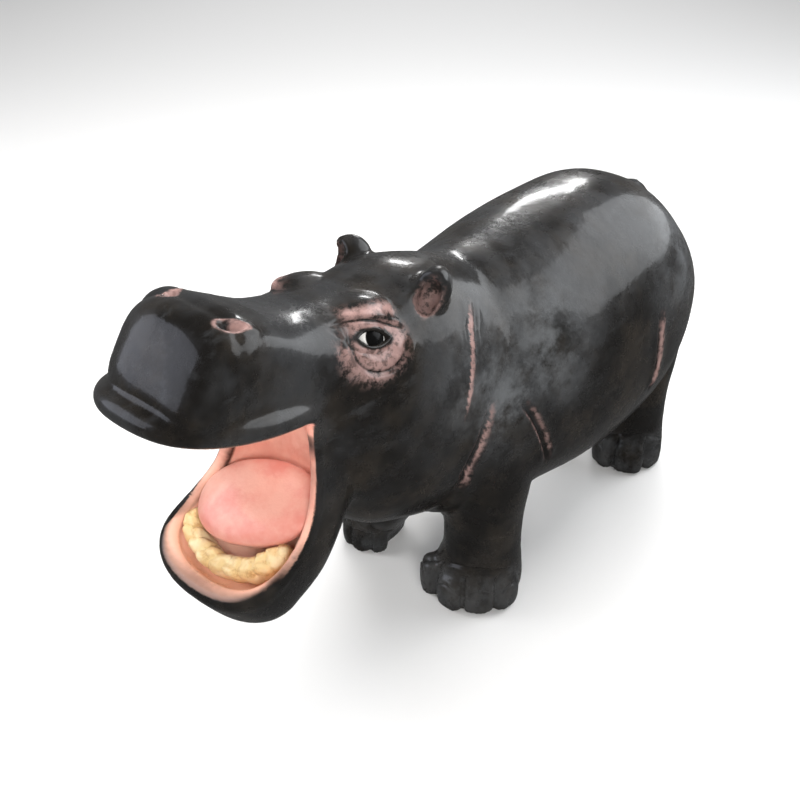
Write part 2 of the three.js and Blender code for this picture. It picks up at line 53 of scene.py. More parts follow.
# each station: y, z, pitch, half width, reach above, reach below, crown, keel, taper
trunk = {
    "steps": 120, "dome": 0,
    "stations": [
        (864, 505, 0, 84, 100, 80, 1.8, 2.0, 0),
        (836, 500, 0, 148, 146, 138, 1.8, 2.1, 0),
        (760, 488, 0, 205, 214, 216, 1.9, 2.1, 0.03),
        (640, 478, 0, 243, 290, 276, 2.3, 2.3, 0.04),
        (480, 470, 0, 254, 308, 292, 2.3, 2.4, 0.04),
        (320, 465, 0, 252, 306, 277, 2.3, 2.4, 0.05),
        (170, 470, 0, 234, 292, 262, 2.2, 2.3, 0.08),
        (40, 480, 0, 205, 281, 275, 2.05, 2.2, 0.1),
        (-60, 505, 0, 176, 256, 255, 2.0, 2.2, 0.1),
    ],
}
head = {
    "steps": 120, "dome": 44, "blunt": 0.6, "middle": 12,
    "stations": [
        (90, 520, 0, 190, 238, 300, 2.1, 2.2, 0.1),
        (-20, 560, 0, 182, 238, 310, 2.2, 2.2, 0.12),
        (-120, 610, 2, 168, 210, 330, 2.3, 2.2, 0.14),
        (-220, 675, 5, 146, 140, 334, 2.4, 2.2, 0.16),
        (-320, 745, 8, 120, 79, 200, 2.5, 3.0, 0.16),
        (-400, 772, 11, 117, 70, 92, 2.7, 3.2, 0.12),
        (-480, 795, 17, 120, 84, 92, 3.0, 3.0, 0.07),
        (-540, 810, 27, 121, 96, 92, 3.2, 3.4, 0.03),
        (-572, 817, 33, 118, 94, 88, 3.2, 3.4, 0.03),
    ],
}
jaw = {
    "steps": 90, "dome": 92, "blunt": 0.82, "chin": 0.42, "middle": -16,
    "stations": [
        (-335, 720, -95, 106, 8, 150, 2.4, 2.4, 0),
        (-386, 660, -90, 112, 8, 200, 2.5, 2.4, 0),
        (-386, 590, -88, 114, 8, 190, 2.5, 2.4, 0),
        (-394, 527, -78, 120, 8, 166, 2.5, 2.4, 0),
        (-418, 476, -58, 130, 8, 150, 2.4, 2.4, 0),
        (-460, 440, -42, 140, 8, 154, 2.4, 2.5, 0),
        (-506, 411, -33, 142, 8, 144, 2.4, 2.6, 0),
    ],
}
mouth = {
    "steps": 80, "dome": 58, "blunt": 0.82, "middle": -14,
    "stations": [
        (-345, 715, -95, 80, 60, 30, 2.4, 2.4, 0),
        (-388, 655, -90, 92, 70, 52, 2.6, 2.6, 0),
        (-388, 590, -88, 97, 70, 58, 2.6, 2.6, 0),
        (-395, 527, -78, 101, 70, 62, 2.6, 2.6, 0),
        (-418, 478, -58, 110, 70, 66, 2.5, 2.5, 0),
        (-460, 443, -42, 119, 70, 62, 2.5, 2.5, 0),
        (-503, 415, -33, 120, 60, 54, 2.4, 2.4, 0),
    ],
}
palate = {
    "steps": 40, "dome": 0,
    "stations": [
        (-380, 672, 14, 84, 26, 50, 2.4, 2.4, 0),
        (-460, 694, 15, 96, 30, 50, 2.6, 2.4, 0),
        (-540, 716, 16, 100, 30, 50, 2.8, 2.4, 0),
        (-606, 735, 17, 88, 22, 50, 2.8, 2.4, 0),
    ],
}
gum = {
    "steps": 60, "dome": 14,
    "stations": [
        (-360, 706, 10, 92, 20, 14, 3.0, 2.4, 0),
        (-430, 722, 14, 120, 12, 18, 3.0, 2.4, 0),
        (-520, 744, 15, 130, 12, 18, 3.4, 2.4, 0),
        (-590, 762, 16, 122, 12, 18, 3.6, 2.4, 0),
        (-612, 768, 17, 112, 12, 14, 3.6, 2.4, 0),
    ],
}
upperLip = {
    "points": 120, "middle": -6, "halfWidth": 134, "cornerWidth": 106, "cornerY": -396, "cornerZ": 701,
    "reach": 250, "rise": 64, "squareness": 3.4, "thick": 20, "tall": 21, "lean": 0.02,
}
lowerLip = {"points": 120, "thick": 12, "inset": 10, "frontThick": 19}
rim = {"points": 420, "soften": 81, "change": 60, "around": 28}   # the two lips are one bead

# each leg station: z, half width, half depth, outward, squareness
frontColumn = [
    (0, 88, 88, -12, 2.3), (40, 96, 96, -12, 2.3), (90, 88, 92, -6, 2.2), (140, 80, 85, 0, 2.1),
    (220, 80, 90, 0, 2.1), (300, 87, 104, 0, 2.1), (380, 86, 114, 0, 2.1), (440, 76, 110, 0, 2.1),
]
splayedColumn = [
    (0, 52, 76, 56, 2.3), (40, 60, 82, 52, 2.3), (90, 72, 86, 34, 2.2), (140, 84, 84, 12, 2.1),
    (180, 97, 88, -5, 2.1), (240, 105, 94, -16, 2.1), (310, 104, 108, -14, 2.1), (380, 92, 118, -6, 2.1),
    (440, 76, 110, 0, 2.1),
]
rearColumn = [
    (0, 68, 76, 0, 2.3), (40, 76, 86, 0, 2.3), (90, 74, 78, 0, 2.2), (140, 72, 74, 0, 2.1),
    (220, 72, 74, 0, 2.1), (300, 80, 78, 0, 2.1), (400, 84, 84, 0, 2.1), (460, 76, 76, 0, 2.1),
]
toeSet = {"lift": 40, "square": 2.7}
legs = {   # each toe: degrees from straight ahead, share of the foot's half size
    "frontLeft": {"side": 1, "x": 122, "y": 66, "column": frontColumn, "toe": (36, 32, 50),
                  "toes": [(-44, 0.95), (-1, 0.8), (41, 0.74), (84, 0.78)]},
    "frontRight": {"side": -1, "x": 122, "y": 55, "column": splayedColumn, "toe": (25, 28, 50),
                   "toes": [(-52, 0.8), (-14, 0.72), (24, 0.72), (60, 0.74)]},
    "rearLeft": {"side": 1, "x": 118, "y": 722, "column": rearColumn, "toe": (39, 32, 58),
                 "toes": [(-26, 0.86), (30, 0.79), (84, 0.68)]},
    "rearRight": {"side": -1, "x": 118, "y": 722, "column": rearColumn, "toe": (39, 32, 58),
                  "toes": [(-26, 0.86), (30, 0.79), (84, 0.68)]},
}
brow = {"x": 60, "y": -232, "z": 780, "size": (46, 76, 38), "turn": 8, "pitch": -15}
mound = {"x": 82, "y": -508, "z": 860, "size": (31, 40, 27)}
ear = {"x": 98, "y": -88, "z": 784, "size": (31, 43, 44), "cup": (22, 30, 34),
       "cupAt": (0, -34, 4), "turn": 24, "tip": 12}
tail = {"steps": 60, "thick": 22, "tip": 13, "from": (752, 700), "over": (892, 664), "to": (876, 470)}


def bump(value, width):
    # 1 in the middle, falling as e to the power -(value / width)^2
    return np.exp(-(value / width) ** 2)


def softStep(value, low, high):
    # 0 below low and 1 above high, with 3 t^2 - 2 t^3 between them
    t = np.clip((value - low) / (high - low), 0, 1)
    return t * t * (3 - 2 * t)


def between(stations, t):
    # Catmull-Rom curve through the stations, at each t, for every column at once
    rows = np.array(stations, float)
    last = len(rows) - 1
    i = np.clip(np.floor(t).astype(int), 0, last - 1)
    f = (t - i)[:, None]
    a, b, c, d = rows[np.maximum(i - 1, 0)], rows[i], rows[i + 1], rows[np.minimum(i + 2, last)]
    return b + 0.5 * f * (c - a + f * (2 * a - 5 * b + 4 * c - d + f * (3 * (b - c) + d - a)))


def unit(vectors):
    return vectors / np.linalg.norm(vectors, axis=1, keepdims=True)


def signedPower(value, power):
    return np.sign(value) * np.abs(value) ** power


def superRing(angle, wide, above, below, crown, keel, taper):
    # across = cos^p wide (1 - taper up), up = sin^p reach, with p = 2 / squareness
    c, s = np.cos(angle), np.sin(angle)
    power = 2 / np.where(s > 0, crown, keel)
    height = signedPower(s, power)
    across = signedPower(c, power) * wide * (1 - taper * height)
    return across, height * np.where(s > 0, above, below)


def roundTurn(count):
    # equal angles once round, as one row
    return np.linspace(0, 2 * math.pi, count, endpoint=False)[None, :]


def aside(shape, count):
    # some shapes lean to one side towards their front end, as the square of the way along
    return shape.get("middle", 0) * np.minimum(np.arange(count) / shape["steps"], 1) ** 2


def loft(shape):
    # rings along the stations, then a dome: ahead = dome sin a, and the ring shrinks as cos^blunt a
    last = len(shape["stations"]) - 1
    rows = between(shape["stations"], np.linspace(0, last, shape["steps"] + 1))
    ahead = np.zeros(len(rows))
    scale = np.ones(len(rows))
    chin = scale
    if shape["dome"]:
        domeAngle = np.linspace(0, math.pi / 2, 24)[1:-1]
        blunt = shape.get("blunt", 0.8)
        rows = np.vstack([rows, np.repeat(rows[-1:], len(domeAngle), axis=0)])
        ahead = np.concatenate([ahead, shape["dome"] * np.sin(domeAngle)])
        chin = np.concatenate([scale, np.cos(domeAngle) ** shape.get("chin", blunt)])
        scale = np.concatenate([scale, np.cos(domeAngle) ** blunt])
    y, z, pitch, wide, above, below, crown, keel, taper = rows.T[:, :, None]
    size, deep = scale[:, None], chin[:, None]
    across, up = superRing(roundTurn(128), wide * size, above * size, below * deep, crown, keel, taper)
    across = across + aside(shape, len(rows))[:, None]
    lean = np.radians(pitch)
    ahead = ahead[:, None]
    return np.stack([
        across,
        y - ahead * np.cos(lean) + up * np.sin(lean),
        z + ahead * np.sin(lean) + up * np.cos(lean),
    ], axis=-1)


def column(leg):
    # ovals from the sole up into the body: across = wide cos^p a, back = deep sin^p a
    last = len(leg["column"]) - 1
    rows = between(leg["column"], np.linspace(0, last, 61))
    z, wide, deep, outward, square = rows.T[:, :, None]
    angle = roundTurn(72)
    across = signedPower(np.cos(angle), 2 / square) * wide
    back = signedPower(np.sin(angle), 2 / square) * deep
    return np.stack([leg["side"] * (leg["x"] + outward) + across, leg["y"] + back, z + 0 * across], axis=-1)


def ellipsoid(size, centre, turn=None, around=60, rings=40, square=2.0):
    # x = a cos u sin v, y = b sin u sin v, z = c cos v, each to the power 2 / square
    u = roundTurn(around)
    v = np.linspace(0, math.pi, rings)[1:-1, None]
    power = 2 / square
    out = np.sin(v) ** power
    points = np.stack([
        size[0] * signedPower(np.cos(u), power) * out,
        size[1] * signedPower(np.sin(u), power) * out,
        size[2] * signedPower(np.cos(v), power) + 0 * u,
    ], axis=-1)
    if turn is not None:
        points = points @ turn.T
    return points + np.array(centre, float)


def turnAbout(axis, degrees):
    return np.array(Matrix.Rotation(math.radians(degrees), 3, axis))


def middleOf(part, side):
    return np.array([side * part["x"], part["y"], part["z"]], float)


def earFrame(side):
    # how an ear is turned, and the middle of its cup
    facing = turnAbout("Z", side * ear["turn"]) @ turnAbout("Y", side * ear["tip"])
    return facing, middleOf(ear, side) + facing @ np.array(ear["cupAt"], float)


def evenly(path, count):
    # the same curve with its points at equal distances
    length = np.concatenate([[0], np.cumsum(np.linalg.norm(np.diff(path, axis=0), axis=1))])
    places = np.linspace(0, length[-1], count)
    return np.stack([np.interp(places, length, path[:, k]) for k in range(3)], axis=1)


def distanceTo(points, path):
    # the least distance from each point to a polyline, its place along it (0 to 1) and the nearest point
    a, b = path[:-1], path[1:]
    step = b - a
    share = np.clip(((points[:, None, :] - a) * step).sum(-1) / (step ** 2).sum(-1), 0, 1)
    near = a + share[:, :, None] * step
    gap = np.linalg.norm(points[:, None, :] - near, axis=-1)
    k = gap.argmin(1)
    row = np.arange(len(points))
    return gap[row, k], (k + share[row, k]) / len(a), near[row, k]


def tube(path, across, wide, rise, tall, around):
    # an oval carried along a path: path + wide cos a across + tall sin a rise
    angle = roundTurn(around)
    return (path[:, None, :] + (wide * np.cos(angle))[:, :, None] * across[:, None, :]
            + (tall * np.sin(angle))[:, :, None] * rise[:, None, :])


def upperLipPath():
    # a squared U: x = w cos^p a, y = corner - reach sin^p a, and it rises to the front
    angle = np.linspace(0, math.pi, 4 * upperLip["points"])
    power = 2 / upperLip["squareness"]
    ahead = np.sin(angle) ** power
    wider = upperLip["halfWidth"] - upperLip["cornerWidth"]
    half = upperLip["cornerWidth"] + wider * (1 - (1 - ahead) ** 3)
    x = half * signedPower(np.cos(angle), power) + upperLip["middle"] * ahead
    return evenly(np.stack([x, upperLip["cornerY"] - upperLip["reach"] * ahead,
                            upperLip["cornerZ"] + upperLip["rise"] * ahead + upperLip["lean"] * x], axis=1),
                  upperLip["points"])


def lowerLipPath():
    # the rim of the jaw: down from one mouth corner, round the front of the jaw's dome and up again
    last = len(jaw["stations"]) - 1
    place = np.linspace(1, last, 80)
    rows = between(jaw["stations"], place)
    lean = jaw["middle"] * (place / last) ** 2
    half = rows[:, 3] - lowerLip["inset"]
    left = np.stack([lean + half, rows[:, 0], rows[:, 1]], axis=1)
    right = np.stack([lean - half, rows[:, 0], rows[:, 1]], axis=1)
    turn = np.linspace(0, math.pi, 80)[1:-1]
    pitch = math.radians(rows[-1, 2])
    ahead = (jaw["dome"] - lowerLip["frontThick"]) * np.sin(turn)
    front = np.stack([lean[-1] + half[-1] * signedPower(np.cos(turn), jaw["blunt"]),
                      rows[-1, 0] - ahead * math.cos(pitch), rows[-1, 1] + ahead * math.sin(pitch)], axis=1)
    return evenly(np.vstack([left, front, right[::-1]]), lowerLip["points"])


def lowerLipThick(y):
    # the bead of the lower lip swells towards the front of the jaw
    return lowerLip["thick"] + (lowerLip["frontThick"] - lowerLip["thick"]) * softStep(-y, 470, 560)


def softened(loop, rounds):
    # each point of a closed loop moves to the mean of itself and its two neighbours, several times
    for _ in range(rounds):
        loop = (np.roll(loop, 1, 0) + 2 * loop + np.roll(loop, -1, 0)) / 4
    return loop


def mouthRim():
    # an oval bead round the upper lip and back round the lower lip, with no ends
    upper, lower = upperLipPath(), lowerLipPath()
    loop = evenly(np.vstack([upper, lower[::-1], upper[:1]]), rim["points"] + 1)[:-1]
    nearUpper = distanceTo(loop, upper)[0] < distanceTo(loop, lower)[0]
    share = softened(nearUpper.astype(float)[:, None], rim["change"])
    loop = softened(loop, rim["soften"])
    lower = lowerLipThick(loop[:, 1:2])
    thick = lower + (upperLip["thick"] - lower) * share
    tall = lower + (upperLip["tall"] - lower) * share
    along = unit(np.roll(loop, -1, 0) - np.roll(loop, 1, 0))
    out = loop - loop.mean(0)
    out = unit(out - (out * along).sum(1, keepdims=True) * along)
    return tube(loop, out, thick, np.cross(out, along), tall, rim["around"])


def tailTube():
    # a quadratic curve down the rump; the section grows thinner and flatter to the tip
    t = np.linspace(0, 1, tail["steps"] + 1)
    a, b, c = (np.array([0, *tail[key]], float) for key in ("from", "over", "to"))
    path = (1 - t)[:, None] ** 2 * a + (2 * t * (1 - t))[:, None] * b + t[:, None] ** 2 * c
    thick = tail["thick"] + (tail["tip"] - tail["thick"]) * t
    wide = thick * (1 + 0.5 * t * t)
    across = np.array([[1.0, 0, 0]])
    rise = np.cross(unit(np.gradient(path, axis=0)), across)
    return tube(path, across, wide[:, None], rise, thick[:, None], 32)


class Loop:
    # a grid that also closes along its length
    def __init__(self, grid):
        self.grid = grid


def closedShape(shape):
    # quads round and along the grid, and a fan of triangles over each end unless it is a loop
    isLoop = isinstance(shape, Loop)
    grid = shape.grid if isLoop else shape
    rings, around = grid.shape[:2]
    index = np.arange(rings * around).reshape(rings, around)
    a, b = (index, np.roll(index, -1, 0)) if isLoop else (index[:-1], index[1:])
    quads = np.stack([a, np.roll(a, -1, 1), np.roll(b, -1, 1), b], axis=-1).reshape(-1, 4)
    if isLoop:
        return grid.reshape(-1, 3), quads, np.zeros((0, 3), int)
    start, end = rings * around, rings * around + 1
    first = np.stack([np.full(around, start), np.roll(index[0], -1), index[0]], axis=1)
    lastFan = np.stack([np.full(around, end), index[-1], np.roll(index[-1], -1)], axis=1)
    points = np.vstack([grid.reshape(-1, 3), grid[0].mean(0), grid[-1].mean(0)])
    return points, quads, np.vstack([first, lastFan])


def addObject(name, data):
    made = bpy.data.objects.new(name, data)
    bpy.context.scene.collection.objects.link(made)
    return made


def makeObject(name, shapes):
    # joins closed shapes, puts them in metres in the shared frame and turns their faces outwards
    points, faces, start = [], [], 0
    for shape in shapes:
        p, quads, fans = closedShape(shape)
        points.append(p)
        faces += (quads + start).tolist() + (fans + start).tolist()
        start += len(p)
    mesh = bpy.data.meshes.new(name)
    mesh.from_pydata((np.vstack(points) + shift) / metre, [], faces)
    made = addObject(name, mesh)
    outwards(made)
    return made


def outwards(piece):
    bm = bmesh.new()
    bm.from_mesh(piece.data)
    bmesh.ops.recalc_face_normals(bm, faces=bm.faces)
    bm.to_mesh(piece.data)
    bm.free()


def applyModifiers(piece):
    view = bpy.context.evaluated_depsgraph_get()
    mesh = bpy.data.meshes.new_from_object(piece.evaluated_get(view))
    old = piece.data
    piece.modifiers.clear()
    piece.data = mesh
    bpy.data.meshes.remove(old)


def remesh(piece, size):
    weld = piece.modifiers.new("weld", "REMESH")
    weld.mode = "VOXEL"
    weld.voxel_size = size / metre
    applyModifiers(piece)


def join(piece, other):
    bm = bmesh.new()
    bm.from_mesh(piece.data)
    bm.from_mesh(other.data)
    bm.to_mesh(piece.data)
    bm.free()
    bpy.data.objects.remove(other)


def cut(piece, cutter):
    trim = piece.modifiers.new("trim", "BOOLEAN")
    trim.operation = "DIFFERENCE"
    trim.object = cutter
    trim.solver = "EXACT"
    applyModifiers(piece)
    bpy.data.objects.remove(cutter)


def pointsOf(piece):
    co = np.zeros(len(piece.data.vertices) * 3, np.float32)
    piece.data.vertices.foreach_get("co", co)
    return co.reshape(-1, 3).astype(float) * metre - shift


def setPoints(piece, points):
    piece.data.vertices.foreach_set("co", ((points + shift) / metre).astype(np.float32).ravel())
    piece.data.update()


def neighbours(piece):
    ends = np.zeros(len(piece.data.edges) * 2, np.int32)
    piece.data.edges.foreach_get("vertices", ends)
    ends = ends.reshape(-1, 2)
    return ends, np.bincount(ends.ravel(), minlength=len(piece.data.vertices)).astype(float)


skinSet = {"fine": 4.0, "coarse": 15.0, "fineRounds": 8, "skinRounds": 4, "smoothSteps": (0.5, -0.53)}


def smoothed(piece, rounds):
    # each round moves a point half way to its neighbours' mean, then back again and a little past it
    points = pointsOf(piece)
    ends, count = neighbours(piece)
    for _ in range(rounds):
        for step in skinSet["smoothSteps"]:
            total = np.stack([
                np.bincount(ends[:, 0], points[ends[:, 1], k], len(points))
                + np.bincount(ends[:, 1], points[ends[:, 0], k], len(points)) for k in range(3)
            ], axis=1)
            points = points + step * (total / count[:, None] - points)
    return points


def fleshShapes():
    # all that is one painted body, from the trunk to the toes
    shapes = [loft(trunk), loft(head), loft(jaw), loft(gum), tailTube()]
    for side in (1, -1):
        browTurn = turnAbout("Z", side * brow["turn"]) @ turnAbout("X", brow["pitch"])
        lidSize = (eye["radius"] + eye["lid"],) * 3
        shapes += [
            ellipsoid(brow["size"], middleOf(brow, side), browTurn, 80, 48),
            ellipsoid(mound["size"], middleOf(mound, side)),
            ellipsoid(lidSize, middleOf(eye, side), None, 80, 48),
            ellipsoid(ear["size"], middleOf(ear, side), earFrame(side)[0]),
        ]
    for leg in legs.values():
        shapes.append(column(leg))
        foot = leg["column"][1]
        for degrees, share in leg["toes"]:
            angle = math.radians(degrees)
            centre = (leg["side"] * (leg["x"] + foot[3] + foot[1] * share * math.sin(angle)),
                      leg["y"] - foot[2] * share * math.cos(angle), toeSet["lift"])
            turn = turnAbout("Z", leg["side"] * degrees)
            shapes.append(ellipsoid(leg["toe"], centre, turn, square=toeSet["square"]))
    return shapes


def hollowShapes():
    # what is cut out of the flesh: the mouth, the palate, the ears' cups and all below the floor
    shapes = [[loft(mouth)], [loft(palate)], []]
    for side in (1, -1):
        facing, cup = earFrame(side)
        shapes[2].append(ellipsoid(ear["cup"], cup, facing))
    corners = [(-400, -900), (400, -900), (400, 1200), (-400, 1200)]   # of a block under all the feet
    shapes.append([np.array([[(x, y, z) for x, y in corners] for z in (-200, 0)], float)])
    return shapes


opening = {"at": (98, -258, 762), "out": (0.87, 0, 0.49), "turn": 20}   # of the eye in the head's side


def eyeFrame(points, side):
    # along the eye's opening (backwards and down), across it (up) and out of the head
    rel = points * np.array([side, 1, 1]) - np.array(opening["at"])
    out = np.array(opening["out"])
    turn = math.radians(opening["turn"])
    back, rise = rel[:, 1], rel @ np.array([-out[2], 0, out[0]])
    return (back * math.cos(turn) - rise * math.sin(turn),
            back * math.sin(turn) + rise * math.cos(turn), rel @ out)


def nearEye(points, side, inner, reach):
    # which points lie round one eye, behind the muzzle and above the cheek
    x, y, z = points.T
    return np.where((side * x > inner) & (np.abs(y + 250) < reach) & (z > 640))[0]


def onLeft(points):
    # the right half of the body folded over onto the left half
    return np.column_stack([np.abs(points[:, 0]), points[:, 1], points[:, 2]])


def nearPath(points, path, reach=60):
    # which points lie in the path's box, grown by reach
    inside = (points > path.min(0) - reach) & (points < path.max(0) + reach)
    return np.where(np.all(inside, axis=1))[0]


nostrils = [   # centre, and half the way from its front end to its back end
    {"at": (84, -521, 883), "half": (9, 21, -9)},
    {"at": (-52, -515, 896), "half": (-9, 21, -6)},
]
folds = {   # grooves on the left side: points along the surface, depth and half width
    "neckFront": {"path": [(100, -4, 745), (136, -44, 705), (156, -64, 650), (166, -80, 602),
                           (168, -96, 534)], "deep": 5, "wide": 5},
    "neckBack": {"path": [(112, 10, 745), (150, -28, 699), (172, -46, 648), (180, -64, 602),
                          (180, -84, 534)], "deep": 5, "wide": 5},
    "chest": {"path": [(181, -10, 575), (183, -23, 540), (182, -39, 501), (176, -60, 451), (167, -72, 418),
                       (160, -69, 393), (148, -85, 370)], "deep": 6, "wide": 7},
    "armpit": {"path": [(199, 49, 537), (213, 77, 493), (221, 100, 445), (224, 122, 393), (219, 140, 349)],
               "deep": 9, "wide": 6},
    "thigh": {"path": [(241, 509, 574), (251, 503, 509), (254, 508, 452), (251, 510, 396), (247, 500, 350)],
              "deep": 8, "wide": 7},
}


mouthMiddle = np.array([0, -470, 560])


def refineZones(points):
    # how many times the net is halved at each point
    level = np.zeros(len(points), int)
    y, z = points[:, 1], points[:, 2]
    mirrored = onLeft(points)

    def raiseTo(value, mask):
        level[mask] = np.maximum(level[mask], value)

    raiseTo(1, (y < -120) | ((z < 140) & (z > 8)))   # the head, and the feet above the soles
    for leg in legs.values():
        degrees, r = aroundFoot(points, leg)
        onToes = (r < 170) & (np.abs(degrees - 18) < 96) & (r > 60)
        raiseTo(2, onToes & (z > 8) & (z < ankleHeight(degrees, leg) + 9))
    for path, reach in ((upperLipPath()[::4], 32), (lowerLipPath()[::4], 27)):
        gap = distanceTo(points, path)[0]
        raiseTo(1, gap < 1.8 * reach)
        raiseTo(2, gap < reach)
    # the edge of the mouth's paint runs along the inner side of the lower lip
    gap, _, at = distanceTo(points, lowerLipPath()[::4])
    inside = np.linalg.norm(points - mouthMiddle, axis=1) < np.linalg.norm(at - mouthMiddle, axis=1)
    raiseTo(3, inside & (np.abs(gap - lowerLipThick(y)) < 4.5))
    for fold in folds.values():
        gap = distanceTo(mirrored, np.array(fold["path"], float))[0]
        raiseTo(1, gap < 38)
        raiseTo(2, gap < 22)
    a, b, out = eyeFrame(mirrored, 1)
    inFront = (np.abs(out) < 80) & (z > 640)
    raiseTo(2, inFront & (np.hypot((a + 2) / 100, (b + 12) / 88) < 1))   # the bags and creases
    raiseTo(3, inFront & (np.hypot((a - 5) / 56, (b + 2) / 38) < 1))   # the lids' edges
    for nostril in nostrils:
        gap = np.linalg.norm(points - np.array(nostril["at"]), axis=1)
        raiseTo(2, gap < 46)
        raiseTo(3, gap < 32)
    gap = np.linalg.norm(mirrored - middleOf(ear, 1), axis=1)
    raiseTo(1, gap < 90)
    raiseTo(2, gap < 58)
    return level


def refine(piece):
    # halves the edges of the faces that are to be finer, one level after the other
    for level in (1, 2, 3):
        bm = bmesh.new()
        bm.from_mesh(piece.data)
        middles = np.array([f.calc_center_median() for f in bm.faces]) * metre - shift
        wanted = refineZones(middles) >= level
        edges = {e for f, w in zip(bm.faces, wanted) if w for e in f.edges}
        bmesh.ops.subdivide_edges(bm, edges=list(edges), cuts=1, use_grid_fill=True)
        bmesh.ops.triangulate(bm, faces=[f for f in bm.faces if len(f.verts) > 4])
        bm.to_mesh(piece.data)
        bm.free()


def shrinkOnto(piece, target):
    wrap = piece.modifiers.new("wrap", "SHRINKWRAP")
    wrap.target = target
    wrap.wrap_method = "NEAREST_SURFACEPOINT"
    applyModifiers(piece)


def normalsOf(piece):
    normals = np.zeros(len(piece.data.vertices) * 3, np.float32)
    piece.data.vertex_normals.foreach_get("vector", normals)
    return normals.reshape(-1, 3).astype(float)


def foldDepth(points):
    # along each fold: a groove with a low ridge on both sides, fading at its ends
    depth = np.zeros(len(points))
    mirrored = onLeft(points)
    for fold in folds.values():
        path = np.array(fold["path"], float)
        near = nearPath(mirrored, path)
        gap, place, _ = distanceTo(mirrored[near], path)
        fade = softStep(place, 0, 0.2) * softStep(1 - place, 0, 0.2)
        wide = fold["wide"]
        depth[near] += fade * fold["deep"] * (-bump(gap, wide) + 0.35 * bump(gap - 2.4 * wide, 1.3 * wide))
    return depth


eyelid = {"middle": (1, -2), "half": (33, 12.5), "lip": 2.2, "sink": 12}
bag = {"middle": (12, -4), "half": (62, 53), "reach": 55, "groove": 4.0, "ring": 4.0, "pouch": 2.5}
eyeLines = {   # the crease over the eye and the line under it: how high each runs, along the opening
    "crease": ([-80, -50, -20, 10, 40, 66], [21, 27, 27.5, 25, 21, 14]),
    "under": ([-90, -63, -32, 2, 27, 40], [18, -5, -24, -29, -18, -6]),
}


def lidDepth(points, side):
    # inside the almond the skin sinks behind the eyeball; round it runs a lid edge, then the bag's rings
    depth = np.zeros(len(points))
    near = nearEye(points, side, 20, 130)
    a, b, out = eyeFrame(points[near], side)
    # an almond: the height of the opening falls as 1 - u^2, so both corners are points
    u, v = (a - eyelid["middle"][0]) / eyelid["half"][0], (b - eyelid["middle"][1]) / eyelid["half"][1]
    edge = (1 - u ** 2 - np.abs(v)) * eyelid["half"][1]
    form = -eyelid["sink"] * softStep(edge, -0.5, 2.5) + eyelid["lip"] * bump(edge + 3.5, 3.0)
    # the bag: rings about an oval, on its lower half alone
    r = np.hypot((a - bag["middle"][0]) / bag["half"][0], (b - bag["middle"][1]) / bag["half"][1])
    lower = softStep(-(b + 0.15 * a), -16, 12)
    form += lower * (bag["ring"] * bump((r - 1.2) * bag["reach"], 8.0)
                     + bag["pouch"] * bump((r - 0.72) * bag["reach"], 9.0)
                     - bag["groove"] * bump((r - 1) * bag["reach"], 5.0))
    over = b - np.interp(a, *eyeLines["crease"])
    under = b - np.interp(a, *eyeLines["under"])
    overhang = 3.0 * bump(over - 9, 7) - 4.5 * bump(over, 3.5)
    form += overhang * softStep(a, -88, -60) * softStep(-a, -74, -56)
    form -= 2.4 * bump(under, 2.6) * softStep(a, -96, -70) * softStep(-a, -42, -20)
    depth[near] = softStep(out, -40, -10) * form
    return depth


footSet = {"gap": 6.0, "gapWide": 4.0, "nail": 3.6, "nailWide": 3.0, "nailTop": 70, "nailFall": 14,
           "ankle": 4.5, "ankleWide": 4.0, "ankleTop": 128, "rearTop": 114, "ankleFall": 50}


def aroundFoot(points, leg):
    # degrees from straight ahead, outwards, about the foot's middle, and the way from that middle
    foot = leg["column"][1]
    across = leg["side"] * points[:, 0] - leg["x"] - foot[3]
    ahead = leg["y"] - points[:, 1]
    return np.degrees(np.arctan2(across, ahead)), np.hypot(across, ahead)


def ankleHeight(degrees, leg):
    # the crease over the foot is highest a little outside of straight ahead and falls as a parabola
    top = footSet["rearTop"] if leg["column"] is rearColumn else footSet["ankleTop"]
    return top - footSet["ankleFall"] * ((degrees - 32) / 80) ** 2


def footDepth(points):
    # gaps between the toes, an arched crease over each nail and one round the ankle
    depth = np.zeros(len(points))
    for leg in legs.values():
        degrees, r = aroundFoot(points, leg)
        near = np.where((r < 180) & (points[:, 2] < 160) & (points[:, 2] > 0.5))[0]
        degrees, r, z = degrees[near], r[near], points[near, 2]
        foot = np.zeros(len(near))
        toes = [toe[0] for toe in leg["toes"]]
        for middle in [(a + b) / 2 for a, b in zip(toes, toes[1:])]:
            turn = np.radians(degrees - middle)
            groove = bump(r * np.sin(turn), footSet["gapWide"]) * softStep(-z, -116, -88)
            foot -= footSet["gap"] * groove * (np.cos(turn) > 0)
        for middle in toes:
            turn = np.radians(degrees - middle)
            across = r * np.sin(turn)
            crease = footSet["nailTop"] - footSet["nailFall"] * (across / 28) ** 2
            groove = bump(z - crease, footSet["nailWide"]) * softStep(-np.abs(across), -30, -20)
            foot -= footSet["nail"] * groove * (np.cos(turn) > 0)
        height = z - ankleHeight(degrees, leg)
        crease = 1.6 * bump(height + 12, 7) - footSet["ankle"] * bump(height, footSet["ankleWide"])
        depth[near] = foot + crease * softStep(-np.abs(degrees - 22), -88, -60)
    return depth


nostrilSet = {"wide": 12.5, "deep": 12, "rim": 1.5, "reach": 48, "away": 9.0}


